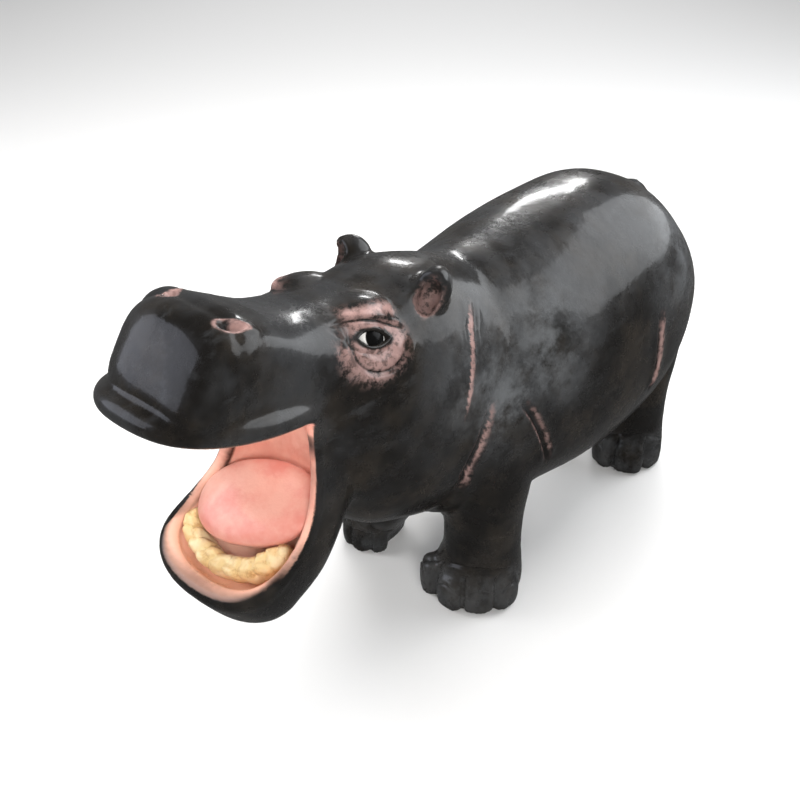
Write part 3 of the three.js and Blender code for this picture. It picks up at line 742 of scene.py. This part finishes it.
def inNostril(points, nostril):
    # the way along a nostril, -1 at its front end and 1 at its back end, and the way out, 1 on its edge
    rel = points - np.array(nostril["at"])
    long = np.array(nostril["half"], float)
    length = np.linalg.norm(long)
    along = rel @ long / length ** 2
    side = np.cross(long / length, np.array([0.3 * np.sign(nostril["at"][0]), 0, 0.95]))
    across = rel @ side / nostrilSet["wide"]
    r = np.hypot(along, across * (1 + 0.25 * along))
    return along, np.where(np.linalg.norm(rel, axis=1) < nostrilSet["reach"], r, nostrilSet["away"])


def nostrilDepth(points):
    # an oval bowl with a raised rim, deeper at its front end
    depth = np.zeros(len(points))
    for nostril in nostrils:
        along, r = inNostril(points, nostril)
        bowl = -nostrilSet["deep"] * softStep(1 - r, 0, 0.75) * (1 - 0.35 * along)
        lip = nostrilSet["rim"] * bump((r - 1.12) * 14, 4.5)
        depth += np.where(r < nostrilSet["away"], bowl + lip, 0)
    return depth


def makeSkin():
    # one fine shell, a coarser net with small faces where the detail is, then the carving on that net
    fine = makeObject("fine", fleshShapes())
    remesh(fine, skinSet["fine"])
    for number, shapes in enumerate(hollowShapes()):
        cut(fine, makeObject(f"hollow{number}", shapes))
    join(fine, makeObject("lips", [Loop(mouthRim())]))
    remesh(fine, skinSet["fine"])
    setPoints(fine, smoothed(fine, skinSet["fineRounds"]))
    print("flesh joined and cut:", len(fine.data.polygons), "faces")
    skin = addObject("skin", fine.data.copy())
    remesh(skin, skinSet["coarse"])
    refine(skin)
    shrinkOnto(skin, fine)
    points = smoothed(skin, skinSet["skinRounds"])
    bpy.data.objects.remove(fine)
    points[:, 2] = np.maximum(points[:, 2], 0)
    setPoints(skin, points)
    depth = foldDepth(points) + lidDepth(points, 1) + lidDepth(points, -1)
    depth += nostrilDepth(points) + footDepth(points)
    normals = normalsOf(skin)
    setPoints(skin, points + depth[:, None] * normals)
    storeShare(skin, "mouth", mouthShare(points, normals))
    storeShare(skin, "accent", accentShare(points, depth))
    storeShare(skin, "hazeAndSheen", hazeAndSheenShare(points))
    skin.data.shade_smooth()
    print("skin netted:", len(skin.data.polygons), "faces",
          sum(len(p.vertices) - 2 for p in skin.data.polygons), "triangles")
    return skin


def mouthShare(points, normals):
    # 1 on faces that look into the mouth, 0 on the lips and outside
    to = mouthMiddle - points
    to /= np.linalg.norm(to, axis=1, keepdims=True)
    share = softStep((to * normals).sum(1), -0.05, 0.1)
    x, y, z = points.T
    share *= (np.abs(x) < 140) & (y < -322) & (z > 290) & (z < 790)
    near = np.where(share > 0)[0]
    lower = distanceTo(points[near], lowerLipPath()[::2])[0] - lowerLipThick(y[near])
    upper = distanceTo(points[near], upperLipPath()[::2])[0] - upperLip["thick"]
    share[near] *= softStep(np.minimum(lower, upper), -2, 2.5)
    return share


accents = {   # where the lighter paint lies along the folds: fold, distance from it, half width, strength
    "strip": ("neckFront", 8, 8, 0.9), "chestLine": ("chest", 5, 10, 0.8),
    "armLine": ("armpit", -6, 4, 0.8), "armShade": ("armpit", 8, 6, 0.45),
    "thighLine": ("thigh", 9, 9, 0.8),
}


def eyeAccent(a, b, out):
    # a wash below the eye and a stroke over it, with none on the lids' dark edge
    area = 1 - softStep(np.hypot((a + 5) / 95, (b + 8) / 78), 0.62, 1.05)
    wash = area * softStep(-b, -30, -23) * (1 - 0.8 * softStep(-a, 30, 60) * softStep(b, -22, -6))
    stroke = bump(b - 42 - 6 * np.sin(a / 26), 12) * softStep(a, -66, -42) * softStep(-a, -68, -50)
    beyond = np.maximum(np.hypot((a - 1) / 37, (b + 2) / 16) - 1, 0) * 16
    return (0.75 * wash + stroke) * softStep(beyond, 0, 4) * softStep(out, -70, -30)


def earAccent(points, side):
    # paler low down in the cup
    facing, cup = earFrame(side)
    rel = (points - cup) @ facing
    r = np.linalg.norm(rel / np.array(ear["cup"]), axis=1)
    return (0.26 + 0.3 * softStep(-rel[:, 2], -8, 16)) * softStep(-r, -1.25, -1.05)


def accentShare(points, depth):
    # the lighter paint: round the eyes, in the ears and nostrils, along the folds and on the tail
    share = np.zeros(len(points))
    mirrored = onLeft(points)
    for side in (1, -1):
        near = nearEye(points, side, 10, 150)
        share[near] = np.maximum(share[near], eyeAccent(*eyeFrame(points[near], side)))
        share = np.maximum(share, earAccent(points, side))
    for fold, away, wide, strength in accents.values():
        path = np.array(folds[fold]["path"], float)
        near = nearPath(mirrored, path)
        gap, place, at = distanceTo(mirrored[near], path)
        behind = np.sign((mirrored[near] - at)[:, 1]) * gap
        fade = softStep(place, 0.02, 0.25) * softStep(1 - place, 0.02, 0.25)
        share[near] = np.maximum(share[near], strength * fade * bump(behind - away, wide))
    share = share * softStep(depth, -4.5, -1.5)   # the grooves stay dark
    for nostril in nostrils:
        along, r = inNostril(points, nostril)
        share = np.maximum(share, softStep(-r, -1.02, -0.9) * softStep(along, -0.35, 0.1))
        share = np.maximum(share, 0.75 * bump((r - 1.05) * 14, 2.0))
    x, y, z = points.T
    tailShare = 0.7 * softStep(y, 800, 880) * (np.abs(x) < 60) * softStep(z, 520, 640)
    return np.maximum(share, tailShare)


hazeAndSheenPatches = {   # middle and reach of each greyer patch on the side: brushed paint and partly painted sheen
    "neck": ((150, -40, 610), 90), "shoulder": ((190, 20, 545), 85),
    "ribs": ((225, 130, 620), 110), "hip": ((215, 640, 640), 110),
}


def hazeAndSheenShare(points):
    # greyer brushed paint in round patches on both sides, where it is partly painted sheen, and on the
    # front of the feet
    share = np.zeros(len(points))
    mirrored, z = onLeft(points), points[:, 2]
    for middle, reach in hazeAndSheenPatches.values():
        share = np.maximum(share, bump(np.linalg.norm(mirrored - np.array(middle), axis=1), reach))
    for leg in legs.values():
        degrees, r = aroundFoot(points, leg)
        front = 0.34 * (r < 180) * softStep(-np.abs(degrees - 18), -110, -70)
        share = np.maximum(share, front * softStep(-z, -125, -85) * softStep(z, 0, 25))
    return share


def storeShare(piece, name, share):
    # a value at each point, which the paint reads by name
    layer = piece.data.attributes.new(name, "FLOAT", "POINT")
    layer.data.foreach_set("value", share.astype(np.float32))


class PaintNodes:
    # shorthand for building a material's nodes
    def __init__(self, name):
        self.material = bpy.data.materials.new(name)
        self.material.use_nodes = True
        self.tree = self.material.node_tree
        self.shader = self.tree.nodes["Principled BSDF"]
        self.place = self.tree.nodes.new("ShaderNodeTexCoord").outputs["Object"]

    def feed(self, socket, value):
        # another node's output is linked, a colour or a number is set on the socket itself
        if isinstance(value, bpy.types.NodeSocket):
            self.tree.links.new(value, socket)
        else:
            socket.default_value = (*value, 1) if isinstance(value, tuple) else value

    def noise(self, scale, detail, rough, stretch=None):
        node = self.tree.nodes.new("ShaderNodeTexNoise")
        for socket, value in (("Scale", scale), ("Detail", detail), ("Roughness", rough)):
            self.feed(node.inputs[socket], value)
        place = self.place
        if stretch:
            mapping = self.tree.nodes.new("ShaderNodeMapping")
            mapping.inputs["Scale"].default_value = stretch
            self.feed(mapping.inputs["Vector"], place)
            place = mapping.outputs["Vector"]
        self.feed(node.inputs["Vector"], place)
        return node.outputs["Fac"]

    def spread(self, value, low, high, toLow=0.0, toHigh=1.0):
        # low to high becomes toLow to toHigh, with soft ends
        node = self.tree.nodes.new("ShaderNodeMapRange")
        node.interpolation_type = "SMOOTHSTEP"
        sockets = ("Value", "From Min", "From Max", "To Min", "To Max")
        for socket, number in zip(sockets, (value, low, high, toLow, toHigh)):
            self.feed(node.inputs[socket], number)
        return node.outputs["Result"]

    def maths(self, kind, a, b):
        node = self.tree.nodes.new("ShaderNodeMath")
        node.operation = kind
        self.feed(node.inputs[0], a)
        self.feed(node.inputs[1], b)
        return node.outputs["Value"]

    def blend(self, share, a, b):
        node = self.tree.nodes.new("ShaderNodeMix")
        node.data_type = "RGBA"
        self.feed(node.inputs["Factor"], share)
        self.feed(node.inputs[6], a)   # the colours' own sockets A and B
        self.feed(node.inputs[7], b)
        return node.outputs[2]

    def height(self, low, high, toLow, toHigh):
        # spread over the height above the floor, in metres
        node = self.tree.nodes.new("ShaderNodeSeparateXYZ")
        self.feed(node.inputs["Vector"], self.place)
        return self.spread(node.outputs["Z"], low, high, toLow, toHigh)

    def stored(self, name):
        node = self.tree.nodes.new("ShaderNodeAttribute")
        node.attribute_name = name
        return node.outputs["Fac"]

    def relief(self, height, distance, socket="Normal"):
        node = self.tree.nodes.new("ShaderNodeBump")
        self.feed(node.inputs["Distance"], distance)
        self.feed(node.inputs["Height"], height)
        self.feed(self.shader.inputs[socket], node.outputs["Normal"])

    def finish(self, colour, roughness, coat, level=0.5):
        values = {"Base Color": colour, "Roughness": roughness, "Coat Weight": coat,
                  "Coat Roughness": 0.07, "Specular IOR Level": level}
        for socket, value in values.items():
            self.feed(self.shader.inputs[socket], value)
        return self.material


# the greyish streaks' and greyer patches' colours are brushed paint and partly painted sheen; the mouth's
# lowest pink is painted light
bodyPaint = {
    "black": (0.0070, 0.0062, 0.0055), "brown": (0.021, 0.017, 0.013), "greyAndSheen": (0.045, 0.047, 0.050),
    "hazeAndSheen": (0.105, 0.110, 0.115), "mauve": (0.20, 0.11, 0.10), "pale": (0.53, 0.35, 0.32),
    "mouth": (0.74, 0.31, 0.24), "mouthPale": (0.84, 0.46, 0.36), "mouthLowLit": (0.92, 0.55, 0.42),
    "smooth": 0.22, "rough": 0.36, "coat": 0.3, "level": 0.18, "ripple": 0.0025, "coatRipple": 0.0007,
}


def makeBodyPaint():
    # black with brown clouds, greyish streaks that are brushed paint and partly painted sheen on the upper
    # surfaces, greyer patches that are brushed paint and partly painted sheen, the stored shares' lighter
    # paint, and the mouth's pink with painted light low down
    p = PaintNodes("lacquer")
    clouds = p.spread(p.noise(9, 6, 0.65), 0.42, 0.68)
    streaks = p.spread(p.noise(26, 5, 0.7, (1.0, 0.35, 1.4)), 0.5, 0.78)
    patches = p.spread(p.noise(5, 4, 0.6), 0.4, 0.62)
    # greyish brushed streaks and patches, stronger higher up: brushed paint, and partly painted sheen on
    # the upper surfaces
    greyAndSheen = p.maths("MULTIPLY", p.maths("MAXIMUM", streaks, patches), p.height(0.35, 0.75, 0.1, 0.55))
    brushed = p.spread(p.noise(16, 5, 0.7, (1.0, 0.5, 0.6)), 0.36, 0.62)
    dark = p.blend(clouds, bodyPaint["black"], bodyPaint["brown"])
    dark = p.blend(greyAndSheen, dark, bodyPaint["greyAndSheen"])
    # greyer patches: brushed paint, and on the sides partly painted sheen
    dark = p.blend(p.maths("MULTIPLY", p.stored("hazeAndSheen"), brushed), dark, bodyPaint["hazeAndSheen"])
    specks = p.spread(p.noise(70, 4, 0.7), 0.38, 0.6)
    light = p.blend(p.noise(45, 3, 0.6), bodyPaint["mauve"], bodyPaint["pale"])
    mottle = p.maths("ADD", p.stored("accent"), p.maths("MULTIPLY", specks, 0.85))
    share = p.maths("MULTIPLY", p.stored("accent"), p.spread(mottle, 0.25, 1.4))
    colour = p.blend(share, dark, light)
    flesh = p.blend(p.spread(p.noise(20, 4, 0.6), 0.35, 0.7), bodyPaint["mouth"], bodyPaint["mouthPale"])
    # painted light: the mouth's pink is paler low down, where more light falls, than up under the palate
    flesh = p.blend(p.height(0.40, 0.56, 1, 0), flesh, bodyPaint["mouthLowLit"])
    colour = p.blend(p.stored("mouth"), colour, flesh)
    fine = p.maths("MULTIPLY", p.noise(40, 5, 0.65), 0.35)
    ripple = p.maths("ADD", fine, p.maths("MULTIPLY", p.noise(7, 3, 0.5), 1.5))
    p.relief(ripple, bodyPaint["ripple"])
    p.relief(ripple, bodyPaint["coatRipple"], "Coat Normal")
    roughness = p.spread(p.noise(14, 5, 0.7), 0.35, 0.7, bodyPaint["smooth"], bodyPaint["rough"])
    coat = p.spread(p.stored("mouth"), 0, 1, bodyPaint["coat"], 0)   # the mouth has no clear coat
    return p.finish(colour, roughness, coat, bodyPaint["level"])


skin = makeSkin()
skin.data.materials.clear()
skin.data.materials.append(makeBodyPaint())
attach(skin, "root")
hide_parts("head", "neck", "trunk", "lower_jaw", "leg_front_left", "leg_front_right",
            "leg_rear_left", "leg_rear_right", "tail", "ear_left", "ear_right")
print("skin painted")


def makePiece(name, grid, material):
    # a piece of its own in the place of the node of that name
    piece = makeObject(name, [grid])
    piece.data.shade_smooth()
    piece.data.materials.append(material)
    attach(piece, "root")
    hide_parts(name)
    return piece


pupil = {"look": (0.86, -0.02, 0.48), "radius": 19.5, "edge": 1}
eyePaint = {"black": (0.004, 0.004, 0.004), "white": (0.84, 0.83, 0.80), "rough": 0.2, "coat": 0.03,
            "level": 0.08}


def makeEyePaint(side):
    # white with a black pupil, round where the eye looks
    p = PaintNodes(f"eyePaint{side}")
    look = np.array(pupil["look"]) * np.array([side, 1, 1])
    look *= eye["radius"] / np.linalg.norm(look)
    away = p.tree.nodes.new("ShaderNodeVectorMath")
    away.operation = "DISTANCE"
    p.feed(away.inputs[0], p.place)
    away.inputs[1].default_value = (middleOf(eye, side) + look + shift) / metre
    inner, outer = ((pupil["radius"] + k * pupil["edge"]) / metre for k in (-1, 1))
    colour = p.blend(p.spread(away.outputs["Value"], inner, outer), eyePaint["black"], eyePaint["white"])
    return p.finish(colour, eyePaint["rough"], eyePaint["coat"], eyePaint["level"])


for side, name in ((1, "eye_left"), (-1, "eye_right")):
    ball = ellipsoid((eye["radius"],) * 3, middleOf(eye, side), None, 96, 64)
    makePiece(name, ball, makeEyePaint(side))
print("eyes made")


tongue = {"middle": (-12, 10), "half": (118, 80), "turn": -22, "high": 27, "deep": 60, "rise": 2,
          "square": 2.2, "dish": 14, "dishAt": (30, -30), "dishSize": (60, 48)}
tonguePaint = {"red": (0.68, 0.26, 0.21), "pale": (0.76, 0.42, 0.34), "rough": 0.35, "coat": 0.3}
teeth = {"middle": (-30, 52), "half": (106, 78), "from": -76, "to": 96, "wide": 20, "high": 30,
         "rise": -24, "deep": 44, "knobs": 21, "steps": 360}
toothPaint = {"ivory": (0.78, 0.60, 0.30), "stain": (0.46, 0.28, 0.10), "cream": (0.86, 0.74, 0.46),
              "rough": 0.38, "coat": 0.25}
jawFloor = {"y": -418, "z": 476, "slope": 35}   # the open jaw's floor falls forwards


def onJaw(x, ahead, rise):
    # places given across the jaw, forwards along its floor and up from its rim
    c, s = math.cos(math.radians(jawFloor["slope"])), math.sin(math.radians(jawFloor["slope"]))
    y = jawFloor["y"] - ahead * c - rise * s
    return np.stack([x, y, jawFloor["z"] - ahead * s + rise * c], axis=-1)


def tongueGrid():
    # a squared oval cushion: across and along by signed powers of cosine and sine, dished behind
    u = roundTurn(120)
    v = np.linspace(0, math.pi, 70)[1:-1, None]
    power = 2 / tongue["square"]
    wide = tongue["half"][0] * signedPower(np.cos(u), power) * np.sin(v)
    long = tongue["half"][1] * signedPower(np.sin(u), power) * np.sin(v)
    c, s = math.cos(math.radians(tongue["turn"])), math.sin(math.radians(tongue["turn"]))
    x, ahead = tongue["middle"][0] + wide * c - long * s, tongue["middle"][1] + wide * s + long * c
    up = np.cos(v) + 0 * u
    rise = tongue["rise"] + up * np.where(up > 0, tongue["high"], tongue["deep"])
    dish = tongue["dish"] * (up > 0)
    for value, middle, size in zip((x, ahead), tongue["dishAt"], tongue["dishSize"]):
        dish = dish * bump(value - middle, size)
    return onJaw(x, ahead, rise - dish)


def teethGrid():
    # an oval tube bent round the front of the jaw, pinched into knobs in two rows
    t = np.linspace(0, 1, teeth["steps"])[:, None]
    turn = np.radians(teeth["from"] + (teeth["to"] - teeth["from"]) * t)
    angle = roundTurn(64)
    out, up = np.cos(angle), np.sin(angle)
    row = 0.5 + 0.5 * np.tanh(4 * out)     # 0 in the inner row, 1 in the outer row
    wave = np.abs(np.sin(math.pi * (teeth["knobs"] * 0.5 * t + 0.37 * row)))
    knob = 1 - 0.16 * (1 - wave) ** 2 - 0.1 * bump(out, 0.22) * (up > 0)
    knob = knob + 0.05 * np.sin(31 * t + 3 * angle) + 0.04 * np.sin(57 * t - 2 * angle)   # uneven casting
    ends = np.sqrt(np.clip(1 - np.abs(2 * t - 1) ** 7, 0.02, 1))
    wide = teeth["wide"] * knob * ends * signedPower(out, 0.8)
    reach = np.where(up > 0, teeth["high"] * knob * ends, teeth["deep"])
    rise = teeth["rise"] + reach * signedPower(up, 0.8)
    x = teeth["middle"][0] + (teeth["half"][0] + wide) * np.sin(turn)
    ahead = teeth["middle"][1] + (teeth["half"][1] + wide) * np.cos(turn)
    return onJaw(x, ahead, rise)


def makeTonguePaint():
    p = PaintNodes("tongueEnamel")
    colour = p.blend(p.spread(p.noise(12, 5, 0.6), 0.35, 0.65), tonguePaint["red"], tonguePaint["pale"])
    p.relief(p.noise(30, 4, 0.6), 0.002)
    return p.finish(colour, tonguePaint["rough"], tonguePaint["coat"])


def makeToothPaint():
    p = PaintNodes("enamel")
    colour = p.blend(p.spread(p.noise(38, 5, 0.7), 0.5, 0.74), toothPaint["ivory"], toothPaint["stain"])
    colour = p.blend(p.spread(p.noise(22, 3, 0.6), 0.48, 0.66), colour, toothPaint["cream"])
    p.relief(p.noise(60, 4, 0.6), 0.004)
    return p.finish(colour, toothPaint["rough"], toothPaint["coat"])


makePiece("tongue", tongueGrid(), makeTonguePaint())
makePiece("teeth_lower", teethGrid(), makeToothPaint())
print("tongue and teeth made")

cameraSet = {"azimuth": 40.675, "pitch": 33.0, "lens": 45, "sensor": 36, "place": (1055, -1290, 1557)}


def makeCamera():
    made = addObject("camera", bpy.data.cameras.new("camera"))
    made.data.lens = cameraSet["lens"]
    made.data.sensor_width = cameraSet["sensor"]
    made.location = (np.array(cameraSet["place"]) + shift) / metre
    made.rotation_euler = (math.radians(90 - cameraSet["pitch"]), 0, math.radians(cameraSet["azimuth"]))
    bpy.context.scene.camera = made


studioSet = {
    "sky": 0.14, "floorColour": (0.84, 0.84, 0.84), "floorRough": 0.6, "floorHalf": 20, "aim": (0, 0, 0.5),
    "lamps": {   # place, width and depth in metres, watts, colour, and whether paint and gloss show it
        "overhead": ((-0.3, 1.2, 3.6), 3.4, 2.4, 150, (1.0, 0.98, 0.96), True, False),
        "behind": ((2.1, 3.2, 3.0), 4.2, 2.8, 100, (0.92, 0.96, 1.0), True, False),
        "front": ((-2.6, -2.4, 2.6), 2.0, 1.6, 80, (1.0, 1.0, 1.0), True, False),
        "side": ((3.0, -2.2, 2.6), 1.8, 1.4, 60, (1.0, 0.99, 0.98), True, False),
        "fill": ((1.9, -2.3, 1.7), 1.2, 1.2, 38, (1.0, 0.98, 0.95), True, False),
        "wash": ((-4.5, 5.5, 6.0), 6.0, 6.0, 380, (1.0, 1.0, 1.0), True, False),
        "sheen": ((1.9, 3.6, 2.5), 4.6, 3.2, 140, (0.94, 0.97, 1.0), False, True),
        "streak": ((-1.9, 3.1, 2.1), 0.8, 0.4, 18, (1.0, 1.0, 1.0), False, True),
        "muzzle": ((-2.9, -3.5, 2.3), 4.0, 3.2, 95, (0.82, 0.86, 1.0), False, True),
    },
}


def makeFloor():
    half = studioSet["floorHalf"]
    mesh = bpy.data.meshes.new("floor")
    corners = [(-half, -half, 0), (half, -half, 0), (half, half, 0), (-half, half, 0)]
    mesh.from_pydata(corners, [], [(0, 1, 2, 3)])
    paint = PaintNodes("floorPaint").finish(studioSet["floorColour"], studioSet["floorRough"], 0)
    mesh.materials.append(paint)
    floor = addObject("floor", mesh)
    floor.visible_glossy = False   # so that the lacquer stays dark underneath


def makeStudio():
    world = bpy.data.worlds.new("studio")
    bpy.context.scene.world = world
    world.use_nodes = True
    sky = world.node_tree.nodes["Background"]
    sky.inputs["Color"].default_value = (1, 1, 1, 1)
    sky.inputs["Strength"].default_value = studioSet["sky"]
    bpy.context.scene.view_settings.view_transform = "Standard"
    for name, (place, wide, deep, power, colour, onPaint, onGloss) in studioSet["lamps"].items():
        lamp = bpy.data.lights.new(name, "AREA")
        lamp.shape = "RECTANGLE"
        lamp.size, lamp.size_y = wide, deep
        lamp.energy = power
        lamp.color = colour
        made = addObject(name, lamp)
        made.visible_diffuse, made.visible_glossy = onPaint, onGloss
        made.location = place
        made.rotation_euler = (Vector(studioSet["aim"]) - Vector(place)).to_track_quat("-Z", "Y").to_euler()


makeCamera()
makeFloor()
makeStudio()
print("camera, floor and lamps set")
